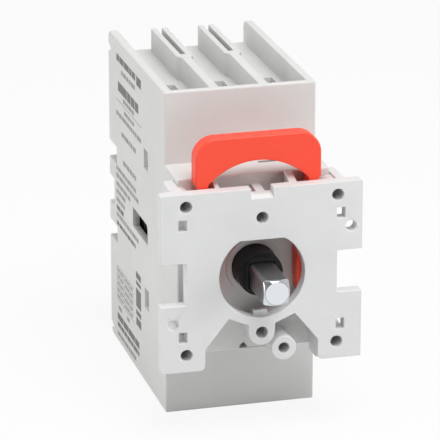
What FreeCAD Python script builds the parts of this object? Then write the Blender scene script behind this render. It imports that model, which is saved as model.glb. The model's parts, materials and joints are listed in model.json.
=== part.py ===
import FreeCAD, Part
import math
import os

from FreeCAD import Placement, Rotation, Vector

# Three-pole rotary switch disconnector with a door plate, a square drive shaft and a foot for a 35 mm rail.
# Millimetres. The origin is the centre of the rail seat, on the shaft's axis. +X is to the right as seen
# from the front, the front looks towards -Y, +Z is up.

# Moulded body
BODY_W = 36.5
BODY_H = 79.4
BODY_D = 56.5
SIDE_WALL = 1.9
REAR_TOP_ROUND = 2.0
REAR_BOTTOM_ROUND = 3.0
EDGE_ROUND = 0.45
SIDE_MID_Z = -1.0

# Raised middle, the 45 mm zone of a distribution board
MID_TOP = 22.35
MID_BOTTOM = -20.7
MID_RISE = 11.6
COVER_FRONT_WALL = 2.6
LIP_WALL = 1.2
LIP_DEPTH = 2.0
COVER_SLOT_X = -2.4
COVER_SLOT_W = 1.8
COVER_SLOT_H = 1.8

# Wiring channels between the phase barriers, the same at the top and the bottom
POLE_MARGIN = 0.1
CHANNEL_DEPTH = 5.9
CHANNEL_FRONT_WALL = 1.6
OUTER_WALL = 2.0
BARRIER_W = 2.2
RIB_W = 1.4
RIB_SLOT = 1.3
RIB_SLOT_DEPTH = 4.5
RIB_START = 28.5
RIB_STEP = 1.6
RIB_END_GAP = 2.5
FLOOR_SLOT_W = 2.8
FLOOR_SLOT_L = 10.0
FLOOR_SLOT_END = 25.1
FLOOR_SLOT_OFFSET = 1.1
FLOOR_SLOT_DEPTH = 4.0

# Rear of the body: terminal recesses, through grooves and finger notches
RECESS_W = 7.8
RECESS_D = 7.5
RECESS_H = 10.6
RECESS_ROOF = 2.0
GROOVE_OUT = 12.55
GROOVE_IN = 8.15
GROOVE_D = 7.8
NOTCH_INSET = 3.3
NOTCH_H = 2.3
NOTCH_D = 3.0
NOTCH_IN = 1.2
POCKET_H = 7.0
POCKET_L = 5.0
POCKET_DEPTH = 1.4

# Windows in both sides: the position window and the four windows of the cover's snap arms
WINDOW_FRONT = 17.1
WINDOW_L = 15.2
WINDOW_H = 5.0
WINDOW_CORNER = 1.3
SNAP_FRONT = 16.3
SNAP_L = 4.1
SNAP_Z = 17.65
SNAP_H = 5.0

# Mechanism cavity
CAVITY_H = 35.0
CAVITY_D = 42.8
PARTITION_W = 1.6
PARTITION_FRONT = 25.5

# Contacts
TRAVEL = 7.0
TURN = 90.0
STRIP_W = 6.4
STRIP_T = 1.5
STRIP_END = 9.5
STRIP_BEND_GAP = 0.2
STRIP_END_GAP = 0.8
TIP_T = 0.9
TIP_L = 4.0
TIP_W = 4.0
TIP_Z = 12.5
BRIDGE_T = 1.5
BRIDGE_W = 4.4
BRIDGE_L = 30.0
CONTACT_GAP = 0.05
TERMINAL_DROP = 4.6
SCREW_R = 1.75
SCREW_HEAD_R = 3.0
SCREW_HEAD_H = 2.2
SCREW_L = 10.0
SCREW_SLOT_W = 0.8
SCREW_SLOT_DEPTH = 1.1
CLAMP_SIZE = 7.0
CLAMP_T = 1.2
CLAMP_LIP = 0.9

# Moving carriage
BEAM_H = 10.0
BEAM_REAR_WALL = 2.5
BEAM_WEB = 1.2
BEAM_RIB = 1.5
BEAM_GROOVE_SHARE = 0.43373
BEAM_PLAY = 0.4
SLEEVE_R = 7.6
SLEEVE_L = 16.0
CAM_PIN_R = 0.9
CAM_PIN_INSET = 4.0
SPRING_COIL_R = 1.8
SPRING_WIRE_R = 0.35
SPRING_TURNS = 4

# Rotor and shaft
BOSS_R = 5.3
BOSS_OUT = 6.4
COLLAR_WALL = 1.3
COLLAR_OUT = 0.6
HUB_HALF = 3.9
HUB_CORNER = 1.2
HUB_OUT = 1.0
FLANGE_R = 8.5
FLANGE_T = 1.5
BEARING_R = 9.2
BEARING_L = 6.5
DRUM_R = 5.0
DRUM_L = 18.8
CAM_DEPTH = 1.3
CAM_WIDTH = 3.4
CAM_RUNOUT = 1.6
SHAFT_SIZE = 6.0
SHAFT_CORNER = 0.7
SHAFT_FACE_R = 2.8
SHAFT_OUT = 12.5
SHAFT_IN = 16.6
SHAFT_PIN_R = 1.0

# Door plate
PLATE_W = 48.0
PLATE_TOP = 21.1
PLATE_BOTTOM = -22.1
PLATE_T = 3.0
PLATE_GAP = 4.5
PLATE_CORNER = 0.5
LEG_CORNER = 1.2
OPENING_R = 10.2
OPENING_FLAT = 8.7
HOLE_R = 1.4
HOLE_PITCH = 36.0
CENTRE_PITCH = 28.0
BOSS_WALL = 1.2
TAB_BOSS_WALL = 0.6
TAB_R = 3.1
SIDE_CUT_Z = -0.65
SIDE_CUT_H = 10.2
SIDE_CUT_D = 6.0
LEG_IN = 13.5
LEG_KNEE = -17.0
GAP_TOP_X = 7.9
GAP_TOP_Z = -10.0
GAP_IN_X = 3.2
GAP_IN_Z = -12.0
GAP_WALL = 1.4
SQUARE_HOLE_W = 2.0
SQUARE_HOLE_H = 2.6
SQUARE_HOLE_X = 18.8
SQUARE_HOLE_Z = 13.6
EXTRA_HOLE_R = 1.3
EXTRA_HOLE_X = 21.2
EXTRA_HOLE_Z = 10.25
DIMPLE_DEPTH = 0.6
EDGE_SLOT_Z = 11.4
EDGE_SLOT_H = 1.8
EDGE_SLOT_D = 2.0
EDGE_SLOT_LIP = 1.8
TOP_NOTCH_W = 5.2
TOP_NOTCH_D = 1.55
TOP_NOTCH_CHAMFER = 0.9
TONGUE_X = 0.3
TONGUE_W = 2.2
TONGUE_T = 2.0
TONGUE_RISE = 0.4
NIB_W = 3.4
NIB_TOP = -8.95
NIB_T = 1.4
TUBE_X = 5.3
TUBE_Z = -18.35
TUBE_R = 2.95
TUBE_BORE_R = 1.3
ARM_OUT = 20.7
ARM_L = 8.2
ARM_IN_Z = 15.8
HOOK_LEFT_X = -9.9
HOOK_LEFT_W = 1.1
HOOK_LEFT_TOP = 22.0
HOOK_RIGHT_X = 8.05
HOOK_RIGHT_W = 1.9
HOOK_RIGHT_TOP = 22.25
HOOK_H = 1.6
HOOK_MARGIN = 1.5
GUIDE_W = 1.4
GUIDE_TOP = 17.8
GUIDE_BOTTOM = -8.0

# Red release slider
SLIDER_W = 29.8
SLIDER_TOP = 32.6
SLIDER_T = 4.15
SLIDER_CORNER = 5.0
SLIDER_LIFT = 5.0
SLIDER_WAIST = 0.9
SLIDER_WAIST_TOP = 21.9
SLIDER_WAIST_LOW = 20.4
SLIDER_SIDE_LOW = 12.0
ARCH_TOP = 26.8
ARCH_R = 16.3
ARCH_SHOULDER = 2.9
LEG_WINDOW_X = 10.8
LEG_WINDOW_SIDE = 4.0
LEG_INNER = 9.2
LEG_INNER_TOP = 8.0
LEG_INNER_LOW = -5.8
LEG_BULGE = 0.25
LEG_OUTER = 12.4
LEG_OUTER_TOP = 9.0
LEG_BOTTOM = -6.9
LEG_TAPER = 2.0

# Rail foot
RAIL_H = 35.0
RAIL_FLANGE = 1.0
FOOT_T = 4.5
FOOT_W = 25.0
FOOT_TOP = 22.0
FOOT_BOTTOM = -32.0
FOOT_FLOOR = 1.0
RAIL_HOOK_W = 6.2
RAIL_HOOK_REACH = 2.0
RAIL_HOOK_LIP = 2.2
LATCH_W = 10.0
LATCH_T = 3.2
LATCH_TONGUE = 1.2
LATCH_BOTTOM = -36.5
LATCH_WEB = 1.5
LATCH_NOSE_ROOT = 2.0
EYE_W = 4.4
EYE_H = 1.6
EYE_WALL = 1.2
LATCH_SPRING_R = 1.1
LATCH_SPRING_WIRE = 0.3
LATCH_SPRING_L = 9.5
PEG_H = 1.5

# Clearances
FIT = 0.05
RUN = 0.08
SLIDE = 0.15
LOOSE = 0.3
THROUGH = 1.0

# Planes along Y, from the rail seat forwards
Y_REAR = -FOOT_T
Y_FRONT = Y_REAR - BODY_D
Y_MID = Y_FRONT - MID_RISE
Y_PLATE_BACK = Y_MID - PLATE_GAP
Y_PLATE = Y_PLATE_BACK - PLATE_T
Y_SHAFT_END = Y_PLATE - SHAFT_OUT
Y_CAVITY = Y_FRONT + CAVITY_D
Y_COVER_INSIDE = Y_MID + COVER_FRONT_WALL
Y_BOSS = Y_MID - BOSS_OUT
Y_BEARING_END = Y_COVER_INSIDE + BEARING_L
Y_FLANGE = Y_BEARING_END + 2 * RUN
Y_DRUM = Y_FLANGE + FLANGE_T
Y_DRUM_END = Y_DRUM + DRUM_L
Y_SLEEVE = Y_DRUM + 2 * LOOSE + CAM_PIN_R
Y_CAM_PIN = Y_SLEEVE + CAM_PIN_INSET
Y_BEAM = Y_SLEEVE + SLEEVE_L
Y_STRIP = Y_CAVITY - STRIP_T
Y_FIXED_TIP = Y_STRIP - TIP_T
Y_MOVING_TIP = Y_FIXED_TIP - TRAVEL - CONTACT_GAP
Y_BRIDGE_BACK = Y_MOVING_TIP - TIP_T
Y_BRIDGE = Y_BRIDGE_BACK - BRIDGE_T
Y_SPRING_SEAT = Y_DRUM_END + LOOSE + BEAM_WEB
Y_BEAM_END = Y_BRIDGE_BACK + BEAM_REAR_WALL

HALF_W = BODY_W / 2
HALF_H = BODY_H / 2
CHANNEL_FLOOR = HALF_H - CHANNEL_DEPTH
CAVITY_HALF_W = HALF_W - SIDE_WALL
CAVITY_HALF_H = CAVITY_H / 2
RECESS_FLOOR_Y = Y_REAR - RECESS_D
RECESS_TOP = CHANNEL_FLOOR - RECESS_ROOF
RECESS_BOTTOM = RECESS_TOP - RECESS_H
STRIP_TOP = RECESS_TOP - STRIP_END_GAP
STRIP_BEND = RECESS_BOTTOM + STRIP_BEND_GAP
TERMINAL_Z = RECESS_TOP - TERMINAL_DROP
POLE_PITCH = BODY_W / 3 - POLE_MARGIN
BARRIER_X = POLE_PITCH / 2 - POLE_MARGIN
POLES = [-POLE_PITCH, 0.0, POLE_PITCH]
X_AXIS = Vector(1, 0, 0)
Y_AXIS = Vector(0, 1, 0)
Z_AXIS = Vector(0, 0, 1)
CENTRE = Vector(0, 0, 0)


def box(x0, x1, y0, y1, z0, z1):
    return Part.makeBox(x1 - x0, y1 - y0, z1 - z0, Vector(x0, y0, z0))


def rod_y(x, z, radius, y0, y1):
    return Part.makeCylinder(radius, y1 - y0, Vector(x, y0, z), Y_AXIS)


def rod_x(y, z, radius, x0, x1):
    return Part.makeCylinder(radius, x1 - x0, Vector(x0, y, z), X_AXIS)


def face_of(corners):
    return Part.Face(Part.makePolygon(corners + [corners[0]]))


def prism_y(outline, y0, y1):
    """A solid whose outline is given as x, z pairs."""
    return face_of([Vector(x, y0, z) for x, z in outline]).extrude(Vector(0, y1 - y0, 0))


def prism_x(outline, x0, x1):
    """A solid whose outline is given as y, z pairs."""
    return face_of([Vector(x0, y, z) for y, z in outline]).extrude(Vector(x1 - x0, 0, 0))


def prism_z(outline, z0, z1):
    """A solid whose outline is given as x, y pairs."""
    return face_of([Vector(x, y, z0) for x, y in outline]).extrude(Vector(0, 0, z1 - z0))


def mirror_x(shape):
    return shape.mirror(CENTRE, X_AXIS)


def mirror_z(shape):
    return shape.mirror(CENTRE, Z_AXIS)


def left_right(shape):
    return [shape, mirror_x(shape)]


def top_bottom(shape):
    return [shape, mirror_z(shape)]


def four_ways(shape):
    return left_right(shape) + left_right(mirror_z(shape))


def join(shapes):
    return shapes[0].multiFuse(shapes[1:]).removeSplitter()


def cut(shape, tools):
    return shape.cut(Part.makeCompound(tools)).removeSplitter()


def round_edges(shape, radius, along, wanted):
    """Rounds the straight edges that run along a direction and whose middle passes a test."""
    picked = []
    for edge in shape.Edges:
        if len(edge.Vertexes) < 2:
            continue
        run = edge.Vertexes[1].Point - edge.Vertexes[0].Point
        straight = abs(run.Length - edge.Length) < 1e-6
        if straight and run.cross(along).Length < 1e-6 and wanted(edge.CenterOfMass):
            picked.append(edge)
    return shape.makeFillet(radius, picked)


def anywhere(point):
    return True


def coil(radius, wire, turns, length, start, direction):
    """A compression spring: a round wire along a helix, between two flat seats."""
    rise = length - 2 * wire
    path = Part.makeHelix(rise / turns, rise, radius)
    ring = Part.Wire(Part.makeCircle(wire, Vector(radius, 0, 0), Y_AXIS))
    spring = Part.Wire(path.Edges).makePipeShell([ring], True, True)
    spring.translate(Vector(0, 0, wire))
    spring.Placement = Placement(start, Rotation(Z_AXIS, direction)).multiply(spring.Placement)
    return spring


def body_block():
    """The outer form of the body, with its rounded rear corners and softened edges."""
    block = box(-HALF_W, HALF_W, Y_FRONT, Y_REAR, -HALF_H, HALF_H)
    block = round_edges(block, REAR_TOP_ROUND, X_AXIS, lambda p: p.y > Y_REAR - FIT and p.z > 0)
    block = round_edges(block, REAR_BOTTOM_ROUND, X_AXIS, lambda p: p.y > Y_REAR - FIT and p.z < 0)
    block = round_edges(block, EDGE_ROUND, Y_AXIS, anywhere)
    front = [edge for edge in block.Edges if edge.BoundBox.YMax < Y_FRONT + FIT]
    return block.makeFillet(EDGE_ROUND, front)


def channel_outline(left, right, left_rear, right_rear):
    """Plan of one wiring channel: wide beside the single barrier, narrower between the double ribs."""
    y0 = Y_FRONT + CHANNEL_FRONT_WALL
    y1 = Y_FRONT + RIB_START - RIB_STEP
    y2 = Y_FRONT + RIB_START
    y3 = Y_REAR + THROUGH
    return [(left, y0), (right, y0), (right, y1), (right_rear, y2), (right_rear, y3), (left_rear, y3),
            (left_rear, y2), (left, y1)]


def wiring_channels():
    """Space above the channel floor, at the top of the body."""
    z0 = CHANNEL_FLOOR
    z1 = HALF_H + THROUGH
    outer = HALF_W - OUTER_WALL
    wall_in = BARRIER_X - BARRIER_W / 2
    wall_out = BARRIER_X + BARRIER_W / 2
    rib_in = BARRIER_X - RIB_SLOT / 2 - RIB_W
    rib_out = BARRIER_X + RIB_SLOT / 2 + RIB_W
    side = prism_z(channel_outline(wall_out, outer, rib_out, outer), z0, z1)
    middle = prism_z(channel_outline(-wall_in, wall_in, -rib_in, rib_in), z0, z1)
    rear_gap = box(-outer, outer, Y_REAR - RIB_END_GAP, Y_REAR + THROUGH, z0, z1)
    slot = box(BARRIER_X - RIB_SLOT / 2, BARRIER_X + RIB_SLOT / 2, Y_FRONT + RIB_START + RIB_STEP,
               Y_REAR + THROUGH, HALF_H - RIB_SLOT_DEPTH, z1)
    return left_right(side) + [middle, rear_gap] + left_right(slot)


def floor_slots():
    """One narrow pocket in each channel floor."""
    y1 = Y_FRONT + FLOOR_SLOT_END
    slots = []
    for pole in POLES:
        x = pole + FLOOR_SLOT_OFFSET
        slots.append(box(x - FLOOR_SLOT_W / 2, x + FLOOR_SLOT_W / 2, y1 - FLOOR_SLOT_L, y1,
                         CHANNEL_FLOOR - FLOOR_SLOT_DEPTH, CHANNEL_FLOOR + THROUGH))
    return slots


def terminal_recesses():
    """A recess per pole, open to the rear, with a blind hole for the screw's end."""
    spaces = []
    hole_end = RECESS_FLOOR_Y + SCREW_HEAD_H - SCREW_L + CLAMP_T + STRIP_T - LOOSE
    for pole in POLES:
        spaces.append(box(pole - RECESS_W / 2, pole + RECESS_W / 2, RECESS_FLOOR_Y, Y_REAR + THROUGH,
                          RECESS_BOTTOM, RECESS_TOP))
        spaces.append(rod_y(pole, TERMINAL_Z, SCREW_R + LOOSE, hole_end, RECESS_FLOOR_Y + THROUGH))
    return spaces


def strip(pole, spare):
    """A contact strip bent twice, from inside the cavity to its terminal; spare thickens it for its slot."""
    inner = Y_STRIP - spare
    outer = RECESS_FLOOR_Y + STRIP_T + spare
    side = [(inner, STRIP_END - spare), (Y_CAVITY + spare, STRIP_END - spare),
            (Y_CAVITY + spare, STRIP_BEND - spare), (outer, STRIP_BEND - spare),
            (outer, STRIP_TOP + spare), (RECESS_FLOOR_Y - spare, STRIP_TOP + spare),
            (RECESS_FLOOR_Y - spare, STRIP_BEND + STRIP_T + spare), (inner, STRIP_BEND + STRIP_T + spare)]
    half = STRIP_W / 2 + spare
    return prism_x(side, pole - half, pole + half)


def mechanism_cavity():
    """The space for the carriage and the contacts, open to the front, with barriers between the poles."""
    cavity = box(-CAVITY_HALF_W, CAVITY_HALF_W, Y_FRONT - THROUGH, Y_CAVITY, -CAVITY_HALF_H, CAVITY_HALF_H)
    x0 = POLE_PITCH / 2 - PARTITION_W / 2
    partition = box(x0, x0 + PARTITION_W, Y_FRONT + PARTITION_FRONT, Y_CAVITY,
                    BEAM_H / 2 + SLIDE, CAVITY_HALF_H)
    return cavity.cut(Part.makeCompound(four_ways(partition)))


def rear_grooves():
    """Two grooves across the rear, a blind notch near each corner and a shallow pocket on each side."""
    grooves = []
    for low, high in ((GROOVE_IN, GROOVE_OUT), (-GROOVE_OUT, -GROOVE_IN)):
        grooves.append(box(-HALF_W - THROUGH, HALF_W + THROUGH, Y_REAR - GROOVE_D, Y_REAR + THROUGH,
                           SIDE_MID_Z + low, SIDE_MID_Z + high))
    for side in (-1, 1):
        z = SIDE_MID_Z + side * (HALF_H - NOTCH_INSET)
        slope = NOTCH_H / 2 / NOTCH_D
        open_half = NOTCH_H / 2 + slope * THROUGH
        notch = [(Y_REAR - NOTCH_D, z), (Y_REAR + THROUGH, z - open_half), (Y_REAR + THROUGH, z + open_half)]
        grooves += left_right(prism_x(notch, HALF_W - NOTCH_IN, HALF_W + THROUGH))
    pocket = box(HALF_W - POCKET_DEPTH, HALF_W + THROUGH, Y_REAR - POCKET_L, Y_REAR + THROUGH,
                 SIDE_MID_Z - POCKET_H / 2, SIDE_MID_Z + POCKET_H / 2)
    return grooves + left_right(pocket)


def side_windows():
    """The position window and the snap windows, each through the right side wall."""
    y0 = Y_FRONT + WINDOW_FRONT
    window = box(CAVITY_HALF_W - THROUGH, HALF_W + THROUGH, y0, y0 + WINDOW_L,
                 SIDE_MID_Z - WINDOW_H / 2, SIDE_MID_Z + WINDOW_H / 2)
    window = round_edges(window, WINDOW_CORNER, X_AXIS, lambda p: p.z > SIDE_MID_Z and p.y < y0 + FIT)
    y1 = Y_FRONT + SNAP_FRONT
    snap = box(CAVITY_HALF_W - THROUGH, HALF_W + THROUGH, y1, y1 + SNAP_L, SNAP_Z - SNAP_H / 2,
               SNAP_Z + SNAP_H / 2)
    pocket = box(CAVITY_HALF_W - LIP_WALL - SLIDE, CAVITY_HALF_W + FIT, Y_FRONT - THROUGH, y1 + SNAP_L,
                 SNAP_Z - SNAP_H / 2 + SLIDE, SNAP_Z + SNAP_H / 2 - SLIDE)
    return [window] + top_bottom(snap) + top_bottom(pocket)


def main_housing():
    half = wiring_channels() + floor_slots() + terminal_recesses() + [strip(pole, FIT) for pole in POLES]
    tools = half + [mirror_z(tool) for tool in half] + rear_grooves() + [mechanism_cavity()]
    for window in side_windows():
        tools += left_right(window)
    return cut(body_block(), tools)


def snap_arm():
    """One of the cover's four arms, upper right, with the wedge that sits in the body's window."""
    x1 = CAVITY_HALF_W - FIT
    x0 = x1 - LIP_WALL
    z0 = SNAP_Z - SNAP_H / 2 + 2 * SLIDE
    z1 = SNAP_Z + SNAP_H / 2 - 2 * SLIDE
    y1 = Y_FRONT + SNAP_FRONT + SNAP_L - LOOSE
    arm = box(x0, x1, Y_FRONT - THROUGH, y1, z0, z1)
    y0 = Y_FRONT + SNAP_FRONT + SLIDE
    x2 = HALF_W - LOOSE
    wedge = prism_z([(x0, y0), (x2, y0), (x2, y0 + THROUGH), (x1, y1), (x0, y1)], z0, z1)
    return arm.fuse(wedge)


def front_cover():
    """The raised middle: a shell with a lip and snap arms behind, and the rotor's bearing in its front."""
    shell = box(-HALF_W, HALF_W, Y_MID, Y_FRONT, MID_BOTTOM, MID_TOP)
    shell = round_edges(shell, EDGE_ROUND, Y_AXIS, anywhere)
    ends = [edge for edge in shell.Edges if edge.BoundBox.YMax < Y_MID + FIT]
    shell = shell.makeFillet(EDGE_ROUND, ends)
    lip_x = CAVITY_HALF_W - RUN
    lip_z = CAVITY_HALF_H - RUN
    lip = box(-lip_x, lip_x, Y_FRONT - THROUGH, Y_FRONT + LIP_DEPTH, -lip_z, lip_z)
    inside = box(-lip_x + LIP_WALL, lip_x - LIP_WALL, Y_COVER_INSIDE, Y_FRONT + LIP_DEPTH + THROUGH,
                 -lip_z + LIP_WALL, lip_z - LIP_WALL)
    cover = cut(join([shell, lip] + four_ways(snap_arm())), [inside])
    bearing = rod_y(0, 0, BEARING_R, Y_MID + THROUGH, Y_BEARING_END)
    collar = rod_y(0, 0, BOSS_R + RUN + COLLAR_WALL, Y_MID - COLLAR_OUT, Y_COVER_INSIDE)
    bore = rod_y(0, 0, BOSS_R + RUN, Y_MID - COLLAR_OUT - THROUGH, Y_BEARING_END + THROUGH)
    left = COVER_SLOT_X - COVER_SLOT_W / 2
    right = COVER_SLOT_X + COVER_SLOT_W / 2
    low = MID_BOTTOM + EDGE_ROUND
    eaves = MID_BOTTOM + COVER_SLOT_H - COVER_SLOT_W / 2
    slot = prism_y([(left, low), (right, low), (right, eaves), (COVER_SLOT_X, MID_BOTTOM + COVER_SLOT_H),
                    (left, eaves)], Y_MID - THROUGH, Y_MID + COVER_FRONT_WALL)
    return cut(join([cover, bearing, collar]), [bore, slot])


def cam_groove():
    """A quarter-turn helical groove in the drum: one full travel of the carriage in one switching turn."""
    pitch = TRAVEL * 360.0 / TURN
    radius = DRUM_R - CAM_DEPTH / 2
    path = Part.makeHelix(pitch, TRAVEL + 2 * CAM_RUNOUT, radius, 0, True)
    half = CAM_WIDTH / 2
    x0 = DRUM_R - CAM_DEPTH
    x1 = DRUM_R + CAM_DEPTH
    section = Part.makePolygon([Vector(x0, 0, -half), Vector(x1, 0, -half), Vector(x1, 0, half),
                                Vector(x0, 0, half), Vector(x0, 0, -half)])
    groove = Part.Wire(path.Edges).makePipeShell([section], True, True)
    groove.rotate(CENTRE, X_AXIS, -90)
    groove.rotate(CENTRE, Y_AXIS, CAM_RUNOUT / pitch * 360.0)
    groove.translate(Vector(0, Y_CAM_PIN - CAM_RUNOUT, 0))
    return groove


def rotor():
    """The black driver: front hub and boss, flange behind the bearing, and the cam drum."""
    boss = rod_y(0, 0, BOSS_R, Y_BOSS, Y_FLANGE)
    flange = rod_y(0, 0, FLANGE_R, Y_FLANGE, Y_DRUM)
    drum = rod_y(0, 0, DRUM_R, Y_DRUM, Y_DRUM_END)
    flat = HUB_HALF - HUB_CORNER
    hub = prism_y([(-flat, -HUB_HALF), (flat, -HUB_HALF), (HUB_HALF, -flat), (HUB_HALF, flat), (flat, HUB_HALF),
                   (-flat, HUB_HALF), (-HUB_HALF, flat), (-HUB_HALF, -flat)], Y_BOSS - HUB_OUT, Y_BOSS)
    half = SHAFT_SIZE / 2 + FIT
    socket = box(-half, half, Y_BOSS - HUB_OUT - THROUGH, Y_BOSS + SHAFT_IN, -half, half)
    pin_y = Y_BOSS + SHAFT_IN / 2
    pin_hole = rod_x(pin_y, 0, SHAFT_PIN_R + FIT, -BOSS_R - THROUGH, BOSS_R + THROUGH)
    groove = cam_groove()
    opposite = groove.copy()
    opposite.rotate(CENTRE, Y_AXIS, 180)
    return cut(join([boss, flange, drum, hub]), [socket, pin_hole, groove, opposite])


def shaft():
    """Square steel bar with softened corners, a turned end and a cross hole for its pin."""
    half = SHAFT_SIZE / 2
    bar = box(-half, half, Y_SHAFT_END, Y_BOSS + SHAFT_IN, -half, half)
    bar = round_edges(bar, SHAFT_CORNER, Y_AXIS, anywhere)
    corner_r = half * math.sqrt(2)
    depth = corner_r - SHAFT_FACE_R
    turned = Part.makeCone(SHAFT_FACE_R, corner_r, depth, Vector(0, Y_SHAFT_END, 0), Y_AXIS)
    stem = rod_y(0, 0, corner_r, Y_SHAFT_END + depth, Y_BOSS + SHAFT_IN)
    bar = bar.common(turned.fuse(stem))
    return cut(bar, [rod_x(Y_BOSS + SHAFT_IN / 2, 0, SHAFT_PIN_R + FIT, -half - THROUGH, half + THROUGH)])


def shaft_pin():
    return rod_x(Y_BOSS + SHAFT_IN / 2, 0, SHAFT_PIN_R, -BOSS_R + LOOSE, BOSS_R - LOOSE)


def contact_carriage():
    """A sleeve round the cam drum with two cam pins, and a ribbed beam that carries the three bridges."""
    bore_r = DRUM_R + LOOSE
    sleeve = rod_y(0, 0, SLEEVE_R, Y_SLEEVE, Y_BEAM + THROUGH)
    half_w = CAVITY_HALF_W - BEAM_PLAY
    beam = box(-half_w, half_w, Y_BEAM, Y_BEAM_END, -BEAM_H / 2, BEAM_H / 2)
    side_wall = half_w - POLE_PITCH - BRIDGE_W / 2 - LOOSE
    groove_depth = side_wall * BEAM_GROOVE_SHARE
    holes = [rod_y(0, 0, bore_r, Y_SLEEVE - THROUGH, Y_DRUM_END + LOOSE)]
    for pole in POLES:
        half = BRIDGE_W / 2 + LOOSE
        holes.append(box(pole - half, pole + half, Y_SPRING_SEAT, Y_BRIDGE_BACK, -BEAM_H, BEAM_H))
    for step in range(int((Y_BEAM_END - Y_BEAM) / (2 * BEAM_RIB))):
        y = Y_BEAM + (2 * step + 1) * BEAM_RIB
        groove = box(half_w - groove_depth, half_w + THROUGH, y, y + BEAM_RIB, -BEAM_H, BEAM_H)
        holes += left_right(groove)
    body = cut(join([sleeve, beam]), holes)
    inner = DRUM_R - CAM_DEPTH + LOOSE
    pin = rod_x(Y_CAM_PIN, 0, CAM_PIN_R, inner, SLEEVE_R - LOOSE)
    return join([body] + left_right(pin))


def bridge_contact(pole):
    """A flat bar across both fixed contacts of a pole, with a raised tip at each end."""
    bar = box(pole - BRIDGE_W / 2, pole + BRIDGE_W / 2, Y_BRIDGE, Y_BRIDGE_BACK, -BRIDGE_L / 2, BRIDGE_L / 2)
    bar = round_edges(bar, BRIDGE_T, Y_AXIS, anywhere)
    tip = box(pole - TIP_W / 2, pole + TIP_W / 2, Y_BRIDGE_BACK, Y_MOVING_TIP,
              TIP_Z - TIP_L / 2, TIP_Z + TIP_L / 2)
    return join([bar] + top_bottom(tip))


def contact_spring(pole):
    start = Vector(pole, Y_SPRING_SEAT, 0)
    return coil(SPRING_COIL_R, SPRING_WIRE_R, SPRING_TURNS, Y_BRIDGE - Y_SPRING_SEAT, start, Y_AXIS)


def fixed_contact(pole):
    """The bent strip of one terminal, with its contact tip and its screw hole."""
    tip = box(pole - TIP_W / 2, pole + TIP_W / 2, Y_FIXED_TIP, Y_STRIP, TIP_Z - TIP_L / 2, TIP_Z + TIP_L / 2)
    hole = rod_y(pole, TERMINAL_Z, SCREW_R + FIT, RECESS_FLOOR_Y - THROUGH, RECESS_FLOOR_Y + STRIP_T + THROUGH)
    return cut(join([strip(pole, 0.0), tip]), [hole])


def clamp_plate(pole):
    """A square saddle with two turned-down lips that guide the wire ends."""
    y0 = RECESS_FLOOR_Y + STRIP_T
    half = CLAMP_SIZE / 2
    saddle = box(pole - half, pole + half, y0 + CLAMP_LIP, y0 + CLAMP_LIP + CLAMP_T,
                 TERMINAL_Z - half, TERMINAL_Z + half)
    lip = box(pole - half, pole - half + CLAMP_T / 2, y0, y0 + CLAMP_LIP, TERMINAL_Z - half, TERMINAL_Z + half)
    other = lip.copy()
    other.translate(Vector(CLAMP_SIZE - CLAMP_T / 2, 0, 0))
    hole = rod_y(pole, TERMINAL_Z, SCREW_R + SLIDE, y0 - THROUGH, y0 + CLAMP_LIP + CLAMP_T + THROUGH)
    return cut(join([saddle, lip, other]), [hole])


def terminal_screw(pole):
    """A slotted pan-head screw through the saddle and the strip."""
    y0 = RECESS_FLOOR_Y + STRIP_T + CLAMP_LIP + CLAMP_T
    head = rod_y(pole, TERMINAL_Z, SCREW_HEAD_R, y0, y0 + SCREW_HEAD_H)
    shank = rod_y(pole, TERMINAL_Z, SCREW_R, y0 + SCREW_HEAD_H - SCREW_L, y0)
    slot = box(pole - SCREW_HEAD_R, pole + SCREW_HEAD_R, y0 + SCREW_HEAD_H - SCREW_SLOT_DEPTH,
               y0 + SCREW_HEAD_H + THROUGH, TERMINAL_Z - SCREW_SLOT_W / 2, TERMINAL_Z + SCREW_SLOT_W / 2)
    return cut(join([head, shank]), [slot])


def gap_outline():
    """Outline of the open gap beside the centre tab, on the right, running out below the plate."""
    low = PLATE_BOTTOM - THROUGH
    return [(LEG_IN, low), (LEG_IN, LEG_KNEE), (GAP_TOP_X, GAP_TOP_Z), (GAP_IN_X, GAP_IN_Z),
            (TAB_R, -CENTRE_PITCH / 2), (TAB_R, low)]


def plate_sheet():
    """The flat front of the door plate with its side cut-outs and lower gaps."""
    half = PLATE_W / 2
    sheet = box(-half, half, Y_PLATE, Y_PLATE_BACK, PLATE_BOTTOM, PLATE_TOP)
    sheet = round_edges(sheet, PLATE_CORNER, Y_AXIS, anywhere)
    gap = prism_y(gap_outline(), Y_PLATE - THROUGH, Y_PLATE_BACK + THROUGH)
    side = box(half - SIDE_CUT_D, half + THROUGH, Y_PLATE - THROUGH, Y_PLATE_BACK + THROUGH,
               SIDE_CUT_Z - SIDE_CUT_H / 2, SIDE_CUT_Z + SIDE_CUT_H / 2)
    below = box(-TAB_R - THROUGH, TAB_R + THROUGH, Y_PLATE - THROUGH, Y_PLATE_BACK + THROUGH,
                PLATE_BOTTOM - THROUGH, -CENTRE_PITCH / 2)
    tab = rod_y(0, -CENTRE_PITCH / 2, TAB_R, Y_PLATE, Y_PLATE_BACK)
    sheet = cut(sheet, left_right(gap) + left_right(side) + [below])
    sheet = round_edges(sheet, LEG_CORNER, Y_AXIS,
                        lambda p: abs(abs(p.x) - LEG_IN) < FIT and p.z < PLATE_BOTTOM + FIT)
    return join([sheet, tab])


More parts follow.
